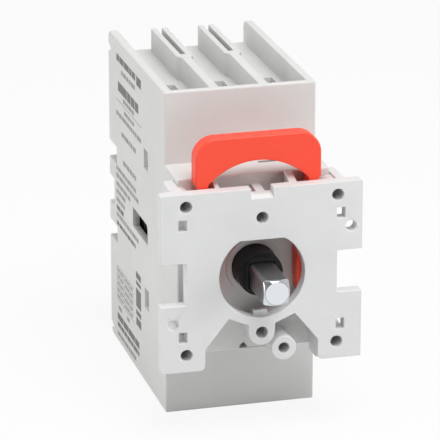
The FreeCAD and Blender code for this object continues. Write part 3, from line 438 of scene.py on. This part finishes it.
def skin(name, rows):
    """A closed surface through rows of points: each row is a ring, and the first and last shrink to a point.

    rows has the shape (rings, points, 3). Point j of ring i joins point j + 1 of the same ring and the
    points with the same numbers in ring i + 1, with j counted round the ring.
    """
    rings, points, _ = rows.shape
    i, j = np.meshgrid(np.arange(rings - 1), np.arange(points), indexing="ij")
    step = (j + 1) % points
    quads = np.stack([i * points + j, i * points + step, (i + 1) * points + step, (i + 1) * points + j], -1)
    mesh = bpy.data.meshes.new(name)
    mesh.from_pydata(rows.reshape(-1, 3).tolist(), [], quads.reshape(-1, 4).tolist())
    work = bmesh.new()
    work.from_mesh(mesh)
    bmesh.ops.remove_doubles(work, verts=work.verts, dist=MERGE_DISTANCE)
    bmesh.ops.recalc_face_normals(work, faces=work.faces)
    work.to_mesh(mesh)
    work.free()
    mesh.polygons.foreach_set("use_smooth", np.ones(len(mesh.polygons), bool))
    mesh.set_sharp_from_angle(angle=SHARP_ANGLE)
    return mesh


def rounded_square(half, corner, arc_points, flat_points):
    """Outline of a square with round corners, as x, z pairs: four quarter arcs joined by divided flats."""
    angle = np.linspace(0.0, math.pi / 2, arc_points)
    arc = (half - corner) + corner * np.stack([np.cos(angle), np.sin(angle)], -1)
    run = np.linspace(1.0, -1.0, flat_points + 2)[1:-1] * (half - corner)
    side = np.concatenate([arc, np.stack([run, np.full(flat_points, half)], -1)])
    turns = [np.linalg.matrix_power(np.array([[0.0, 1.0], [-1.0, 0.0]]), k) for k in range(4)]
    return np.concatenate([side @ turn for turn in turns])


def shaft_rows(face_r):
    """The square bar cut by a cone at its front end: a point's distance from the axis is the smaller of the
    square's own and the cone's, which starts at face_r, and both end faces close to their centre."""
    low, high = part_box("shaft")
    half = high.x
    outline = rounded_square(half, SHAFT_CORNER, arc_points=9, flat_points=15)
    reach = np.linalg.norm(outline, axis=1)
    cone = max(reach) - face_r
    depth = np.concatenate([np.linspace(0.0, cone, 10), [high.y - low.y]])
    limit = face_r + depth
    scale = np.minimum(1.0, limit[:, None] / reach[None, :])
    body = np.empty((len(depth), len(outline), 3))
    body[..., 0] = outline[None, :, 0] * scale
    body[..., 2] = outline[None, :, 1] * scale
    body[..., 1] = (low.y + depth)[:, None]
    front = [body[0] * [share, 1.0, share] + [0.0, SHAFT_END_DISH * (1.0 - share ** 2), 0.0]
             for share in (0.0, 0.3, 0.6, 0.9)]
    back = body[-1] * [0.0, 1.0, 0.0]
    return np.concatenate([np.array(front), body, back[None]])


def coil_rows(start, end, wire_r, radius, turns, points_per_turn=28, wire_points=10):
    """A round wire along a helix between two points on the coil's axis.

    With t from 0 to 1 the wire's middle is at start + axis * (wire_r + rise * t), moved out from the axis by
    radius in a direction that is turned by 2 pi * turns * t. Its section is a circle across the helix.
    """
    start = np.array(start)
    axis = np.array(end) - start
    length = np.linalg.norm(axis)
    axis = axis / length
    across = np.array([1.0, 0.0, 0.0])
    other = np.cross(axis, across)
    rise = length - 2.0 * wire_r
    t = np.linspace(0.0, 1.0, int(turns * points_per_turn) + 1)
    angle = 2.0 * math.pi * turns * t
    out = np.cos(angle)[:, None] * across + np.sin(angle)[:, None] * other
    middle = start + axis * (wire_r + rise * t)[:, None] + radius * out
    round_angle = np.linspace(0.0, 2.0 * math.pi, wire_points, endpoint=False)
    tube = (middle[:, None, :] + wire_r * (np.cos(round_angle)[None, :, None] * out[:, None, :]
            + np.sin(round_angle)[None, :, None] * axis[None, None, :]))
    caps = [np.repeat(middle[k][None, None, :], wire_points, axis=1) for k in (0, -1)]
    return np.concatenate([caps[0], tube, caps[1]])


def slab(name, boxes):
    """Closed thin boxes in one mesh, from an array of low and high corners with the shape (boxes, 2, 3)."""
    pick = np.array([[0, 0, 0], [1, 0, 0], [1, 1, 0], [0, 1, 0], [0, 0, 1], [1, 0, 1], [1, 1, 1], [0, 1, 1]])
    faces = np.array([[0, 3, 2, 1], [4, 5, 6, 7], [0, 1, 5, 4], [1, 2, 6, 5], [2, 3, 7, 6], [3, 0, 4, 7]])
    corners = np.take_along_axis(boxes[:, :, None, :], pick[None, None, :, :].repeat(len(boxes), 0), 1)[:, 0]
    index = faces[None] + 8 * np.arange(len(boxes))[:, None, None]
    mesh = bpy.data.meshes.new(name)
    mesh.from_pydata(corners.reshape(-1, 3).tolist(), [], index.reshape(-1, 4).tolist())
    return mesh


# Shortest and longest bar of a row, as shares of the bar's height.
SHORTEST_BAR, LONGEST_BAR = 1.2, 4.0


def word_bars(rows, gap, random):
    """Splits each row (rear end, front end, middle height, bar height) into bars of uneven length.

    The last bar of a row takes what is left where no further bar would fit.
    """
    bars = []
    for rear, front, z, height in rows:
        start = rear
        while start - front > height:
            length = height * random.uniform(SHORTEST_BAR, LONGEST_BAR)
            if start - length - front < height * SHORTEST_BAR:
                length = start - front
            bars.append((start, start - length, z - height / 2, z + height / 2))
            start -= length + gap
    return bars


# The print's rows, in millimetres: distance of the rear and front end behind the front wall, height of the
# middle above the shaft's axis, and height of the bars.
BOLD_ROWS = [
    (47.6, 28.3, 35.2, 1.7), (46.3, 25.4, 28.1, 2.4), (49.0, 41.7, -3.8, 1.2), (49.0, 29.4, -7.9, 1.0),
    (49.2, 26.4, -32.7, 1.7), (49.2, 26.5, -34.9, 1.2),
]
FINE_ROWS = [
    (42.9, 28.8, 32.4, 1.1), (41.0, 29.9, 25.7, 1.1), (40.1, 29.8, 22.9, 1.0), (48.4, 22.8, 20.9, 1.1),
    (43.0, 28.3, 16.7, 1.2), (41.6, 28.3, 9.8, 1.2), (49.0, 28.6, 6.5, 1.1), (49.0, 26.0, 4.6, 1.1),
    (49.0, 34.6, 2.4, 1.1), (49.0, 39.6, 0.4, 1.1), (49.0, 40.2, -1.7, 1.1), (49.0, 26.2, -5.6, 1.1),
    (48.0, 44.5, -30.2, 1.1), (39.0, 36.4, -29.9, 1.0), (49.2, 29.9, -37.4, 1.0),
]
# Single shapes and the table: rear end, front end, lower edge and upper edge.
RULE = (48.2, 22.3, 24.3, 24.5)
FRONT_BLOCK = (27.1, 22.5, 33.8, 36.1)
TALL_BLOCKS = [(29.2, 24.2, -15.6, -14.0), (29.2, 24.2, -17.3, -16.3), (29.2, 24.2, -23.0, -18.2),
               (29.2, 24.2, -25.1, -23.8), (29.2, 24.2, -27.8, -25.8)]
TABLE_LOW, TABLE_HIGH = -28.3, -19.5
TABLE_COLUMNS = (49.2, 46.4, 41.7, 36.1, 31.8)
TABLE_ROWS = 5
TABLE_LINE = 0.18
BAR_MARGIN, CELL_MARGIN, ROW_MARGIN = 0.5, 0.25, 0.55
# The one short bar on top of the raised middle: its ends along X, and how far its near and far edge lie
# behind the slider's back.
TOP_BAR = (3.2, 7.4, 7.4, 8.6)


def table_bars():
    """A small ruled table with filled cells in its first column and short bars in the others."""
    bars = []
    heights = np.linspace(TABLE_LOW, TABLE_HIGH, TABLE_ROWS + 1)
    for z in heights:
        bars.append((TABLE_COLUMNS[0], TABLE_COLUMNS[-1], z - TABLE_LINE / 2, z + TABLE_LINE / 2))
    for column, (rear, front) in enumerate(zip(TABLE_COLUMNS, TABLE_COLUMNS[1:])):
        bars.append((rear + TABLE_LINE / 2, rear - TABLE_LINE / 2, TABLE_LOW, TABLE_HIGH))
        for low, high in zip(heights, heights[1:]):
            margin = BAR_MARGIN if column else CELL_MARGIN
            end = front + margin * (1 + column % 2)
            bars.append((rear - margin, end, low + ROW_MARGIN, high - ROW_MARGIN))
    return bars


def side_boxes(bars, outer_x, front_y, film):
    """Turns bars on the left wall into thin boxes, half sunk in the wall."""
    bars = np.array(bars) * MM
    low = np.stack([np.full(len(bars), outer_x - film), front_y + bars[:, 1], bars[:, 2]], -1)
    high = np.stack([np.full(len(bars), outer_x + film), front_y + bars[:, 0], bars[:, 3]], -1)
    return np.stack([low, high], 1)


class DISCONNECTOR_OT_housing(bpy.types.Operator):
    """Finish the main housing and the front cover in light grey plastic"""
    bl_idname = "disconnector.housing"
    bl_label = "Housing and cover"

    def execute(self, context):
        look = settings().moulded
        grey = moulded_plastic("grey_body", look.body_colour, 0.52)
        softened_copy("main_housing", grey, look.edge)
        softened_copy("front_cover", grey, look.edge)
        return {"FINISHED"}


class DISCONNECTOR_OT_plate(bpy.types.Operator):
    """Finish the front plate in a slightly whiter grey plastic"""
    bl_idname = "disconnector.plate"
    bl_label = "Front plate"

    def execute(self, context):
        look = settings().moulded
        softened_copy("door_plate", moulded_plastic("grey_plate", look.plate_colour, 0.48), look.edge)
        return {"FINISHED"}


class DISCONNECTOR_OT_slider(bpy.types.Operator):
    """Finish the release slider in orange red plastic"""
    bl_idname = "disconnector.slider"
    bl_label = "Release slider"

    def execute(self, context):
        look = settings().moulded
        red = moulded_plastic("slider_red", look.slider_colour, 0.42, mottle=0.015, relief=0.006 * MM)
        softened_copy("release_slider", red, 2.0 * look.edge)
        return {"FINISHED"}


class DISCONNECTOR_OT_mechanism(bpy.types.Operator):
    """Finish the rotor and the contact carriage in black plastic"""
    bl_idname = "disconnector.mechanism"
    bl_label = "Rotor and carriage"

    def execute(self, context):
        look = settings().moulded
        black = moulded_plastic("rotor_black", look.rotor_colour, 0.45, mottle=0.1, relief=0.008 * MM,
                                shine=0.15)
        for node in ("rotor", "contact_carriage"):
            softened_copy(node, black, look.edge)
        return {"FINISHED"}


class DISCONNECTOR_OT_shaft(bpy.types.Operator):
    """Build the square shaft with its turned end, and finish its pin"""
    bl_idname = "disconnector.shaft"
    bl_label = "Shaft and pin"

    def execute(self, context):
        look = settings().metal
        low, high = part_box("shaft")
        end_y = low.y + TURNED_DEPTH
        face_r = high.x * look.end_share
        steel = drawn_bar("shaft_steel", look.shaft_colour, look.end_colour, end_y, face_r)
        link_piece(skin("shaft_bar", shaft_rows(face_r)), "shaft_bar", steel, "shaft")
        softened_copy("shaft_pin", plated_metal("pin_steel", look.zinc_colour, 0.3), look.edge)
        return {"FINISHED"}


class DISCONNECTOR_OT_contacts(bpy.types.Operator):
    """Finish the fixed contacts and the bridges in copper, and the contact springs in steel"""
    bl_idname = "disconnector.contacts"
    bl_label = "Contacts and springs"

    def execute(self, context):
        look = settings().metal
        copper = plated_metal("contact_copper", look.copper_colour, 0.34)
        spring = plated_metal("spring_steel", look.zinc_colour, 0.28)
        for number in (1, 2, 3):
            for node in ("bridge_contact_%d", "line_contact_%d", "load_contact_%d"):
                softened_copy(node % number, copper, look.edge)
            softened_copy("contact_spring_%d" % number, spring, 0.0)
        return {"FINISHED"}


class DISCONNECTOR_OT_terminals(bpy.types.Operator):
    """Finish the clamp plates and terminal screws in zinc plating"""
    bl_idname = "disconnector.terminals"
    bl_label = "Terminals"

    def execute(self, context):
        look = settings().metal
        zinc = plated_metal("zinc_plating", look.zinc_colour, 0.36)
        for number in (1, 2, 3):
            softened_copy("line_clamp_%d" % number, zinc, look.edge)
            softened_copy("load_clamp_%d" % number, zinc, look.edge)
        softened_copy("terminal_screws", zinc, look.edge)
        return {"FINISHED"}


class DISCONNECTOR_OT_foot(bpy.types.Operator):
    """Finish the rail foot and its latch, and build the latch spring"""
    bl_idname = "disconnector.foot"
    bl_label = "Rail foot and latch"

    def execute(self, context):
        look = settings().moulded
        softened_copy("din_foot", moulded_plastic("grey_foot", look.body_colour, 0.55), look.edge)
        black = moulded_plastic("latch_black", look.rotor_colour, 0.4, mottle=0.1)
        softened_copy("din_latch", black, look.edge)
        low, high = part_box("latch_spring")
        middle_y = (low.y + high.y) / 2
        radius = (high.x - low.x) / 2 - LATCH_WIRE_R
        coil = coil_rows((0.0, middle_y, low.z), (0.0, middle_y, high.z), LATCH_WIRE_R, radius,
                         LATCH_COIL_TURNS)
        spring = link_piece(skin("latch_coil", coil), "latch_coil",
                            plated_metal("latch_steel", settings().metal.zinc_colour, 0.28), "latch_spring")
        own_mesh(spring)
        return {"FINISHED"}


class DISCONNECTOR_OT_print(bpy.types.Operator):
    """Print bars, a rule, a ruled table and blocks on the left side, and one bar on the raised middle"""
    bl_idname = "disconnector.print"
    bl_label = "Side print"

    def execute(self, context):
        look = settings().ink
        random = np.random.default_rng(look.seed)
        gap = look.word_gap / MM
        bold = word_bars(BOLD_ROWS, gap, random) + TALL_BLOCKS + [FRONT_BLOCK]
        fine = word_bars(FINE_ROWS, gap, random) + [RULE] + table_bars()
        low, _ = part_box("main_housing")
        for name, bars, colour in (("print_bold", bold, look.bold_colour),
                                   ("print_fine", fine, look.fine_colour)):
            self.add_print(name, side_boxes(bars, low.x, low.y, look.film), colour, "main_housing")
        low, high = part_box("front_cover")
        left, right, near, far = (value * MM for value in TOP_BAR)
        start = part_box("release_slider")[1].y
        bar = np.array([[[left, start + near, high.z - look.film], [right, start + far, high.z + look.film]]])
        self.add_print("print_top", bar, look.bold_colour, "front_cover")
        return {"FINISHED"}

    def add_print(self, name, boxes, colour, node):
        """Puts printed boxes in the scene, riding on the node that they stand on."""
        mesh = slab(name, boxes)
        mesh.materials.append(ink_material(name + "_ink", colour))
        piece = bpy.data.objects.new(name, mesh)
        bpy.context.scene.collection.objects.link(piece)
        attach(piece, BODY_OF_NODE[node])


def add_round_light(name, aim, offset, size, power):
    """A round white light at an offset from the point that it shines on."""
    data = bpy.data.lights.new(name, "AREA")
    data.shape = "DISK"
    data.size = size
    data.energy = power
    lamp = bpy.data.objects.new(name, data)
    lamp.location = aim + Vector(offset)
    lamp.rotation_euler = (-Vector(offset)).to_track_quat("-Z", "Y").to_euler()
    bpy.context.scene.collection.objects.link(lamp)


def camera_side(look):
    """Unit vector from the part towards the camera."""
    level = math.cos(look.elevation)
    return Vector((math.sin(look.azimuth) * level, -math.cos(look.azimuth) * level, math.sin(look.elevation)))


def seen_directly(tree):
    """1 for rays that come from the camera, also through glass, and 0 for all others."""
    ray = add_node(tree, "ShaderNodeLightPath")
    seen = add_node(tree, "ShaderNodeMath", {"operation": "ADD", "use_clamp": True})
    tree.links.new(ray.outputs["Is Camera Ray"], seen.inputs[0])
    tree.links.new(ray.outputs["Is Transmission Ray"], seen.inputs[1])
    return seen.outputs[0]


class DISCONNECTOR_OT_stage(bpy.types.Operator):
    """Pale floor, soft light from above and both sides, and the camera"""
    bl_idname = "disconnector.stage"
    bl_label = "Stage"

    def execute(self, context):
        look = settings().stage
        scene = context.scene
        scene.view_settings.view_transform = "Standard"
        low, high = CAD_BOUNDS
        middle = (Vector(low) + Vector(high)) / 2
        self.make_floor(scene, look, middle, low[2])
        self.make_world(scene, look)
        add_round_light("light_above", middle, *LIGHT_ABOVE, look.key_power)
        add_round_light("light_left", middle, *LIGHT_LEFT, look.left_power)
        add_round_light("light_right", middle, *LIGHT_RIGHT, look.right_power)
        self.make_camera(scene, look)
        return {"FINISHED"}

    def make_floor(self, scene, look, middle, height):
        """A pale floor under the part that keeps its shadow and that the camera sees as nearly white."""
        mesh = bpy.data.meshes.new("floor")
        corners = FLOOR_HALF * np.array([[-1, -1], [1, -1], [1, 1], [-1, 1]])
        points = np.column_stack([corners + [middle.x, middle.y], np.full(4, height - FLOOR_DROP)])
        mesh.from_pydata(points.tolist(), [], [[0, 1, 2, 3]])
        material, tree, shader = new_material("floor_white")
        shader.inputs["Base Color"].default_value = (*look.floor_colour, 1.0)
        shader.inputs["Roughness"].default_value = 0.9
        glow = add_node(tree, "ShaderNodeEmission", Strength=1.0)
        mix = add_node(tree, "ShaderNodeMixShader")
        share = add_node(tree, "ShaderNodeMath", {"operation": "MULTIPLY"})
        tree.links.new(seen_directly(tree), share.inputs[0])
        share.inputs[1].default_value = look.floor_glow
        tree.links.new(share.outputs[0], mix.inputs["Fac"])
        tree.links.new(shader.outputs["BSDF"], mix.inputs[1])
        tree.links.new(glow.outputs["Emission"], mix.inputs[2])
        tree.links.new(mix.outputs["Shader"], tree.nodes["Material Output"].inputs["Surface"])
        mesh.materials.append(material)
        floor = bpy.data.objects.new("floor", mesh)
        scene.collection.objects.link(floor)

    def make_world(self, scene, look):
        """White where the camera sees it; its light is even all round, but dimmer where the camera stands."""
        world = scene.world or bpy.data.worlds.new("studio")
        scene.world = world
        world.use_nodes = True
        tree = world.node_tree
        tree.nodes.clear()
        out = add_node(tree, "ShaderNodeOutputWorld")
        way = add_node(tree, "ShaderNodeTexCoord").outputs["Generated"]
        facing = add_node(tree, "ShaderNodeVectorMath", {"operation": "DOT_PRODUCT"})
        tree.links.new(way, facing.inputs[0])
        facing.inputs[1].default_value = camera_side(look)
        dim = add_node(tree, "ShaderNodeMapRange", {"interpolation_type": "SMOOTHSTEP"}, From_Min=0.35,
                       From_Max=0.95, To_Min=look.world_level, To_Max=look.world_level * look.dark_side)
        tree.links.new(facing.outputs["Value"], dim.inputs["Value"])
        sky = add_node(tree, "ShaderNodeBackground", Color=(1.0, 1.0, 1.0, 1.0))
        tree.links.new(dim.outputs["Result"], sky.inputs["Strength"])
        white = add_node(tree, "ShaderNodeBackground", Color=(1.0, 1.0, 1.0, 1.0), Strength=1.0)
        mix = add_node(tree, "ShaderNodeMixShader")
        tree.links.new(seen_directly(tree), mix.inputs["Fac"])
        tree.links.new(sky.outputs["Background"], mix.inputs[1])
        tree.links.new(white.outputs["Background"], mix.inputs[2])
        tree.links.new(mix.outputs["Shader"], out.inputs["Surface"])

    def make_camera(self, scene, look):
        """The camera at the photograph's viewing angle, aimed at the target."""
        data = bpy.data.cameras.new("camera")
        data.sensor_width = 36.0
        data.lens = look.lens
        data.clip_start = 0.01
        data.clip_end = 20.0
        away = camera_side(look)
        camera = bpy.data.objects.new("camera", data)
        camera.location = Vector(look.target) + away * look.distance
        camera.rotation_euler = (-away).to_track_quat("-Z", "Y").to_euler()
        scene.collection.objects.link(camera)
        scene.camera = camera


OPERATORS = (
    DISCONNECTOR_OT_housing, DISCONNECTOR_OT_plate, DISCONNECTOR_OT_slider, DISCONNECTOR_OT_mechanism,
    DISCONNECTOR_OT_shaft, DISCONNECTOR_OT_contacts, DISCONNECTOR_OT_terminals, DISCONNECTOR_OT_foot,
    DISCONNECTOR_OT_print, DISCONNECTOR_OT_stage,
)


class DISCONNECTOR_PT_panel(bpy.types.Panel):
    """Lists the steps that dress the part"""
    bl_idname = "DISCONNECTOR_PT_panel"
    bl_label = "Disconnector"
    bl_space_type = "VIEW_3D"
    bl_region_type = "UI"
    bl_category = "Disconnector"

    def draw(self, context):
        for operator in OPERATORS:
            self.layout.operator(operator.bl_idname)


CLASSES = (MouldedSettings, MetalSettings, PrintSettings, StageSettings, DisconnectorSettings, *OPERATORS,
           DISCONNECTOR_PT_panel)


def register():
    for cls in CLASSES:
        bpy.utils.register_class(cls)
    bpy.types.Scene.disconnector = bpy.props.PointerProperty(type=DisconnectorSettings)


def unregister():
    del bpy.types.Scene.disconnector
    for cls in reversed(CLASSES):
        bpy.utils.unregister_class(cls)


def main():
    """Runs every step in order."""
    register()
    for operator in OPERATORS:
        group, step = operator.bl_idname.split(".")
        getattr(getattr(bpy.ops, group), step)()


if __name__ == "__main__":
    main()
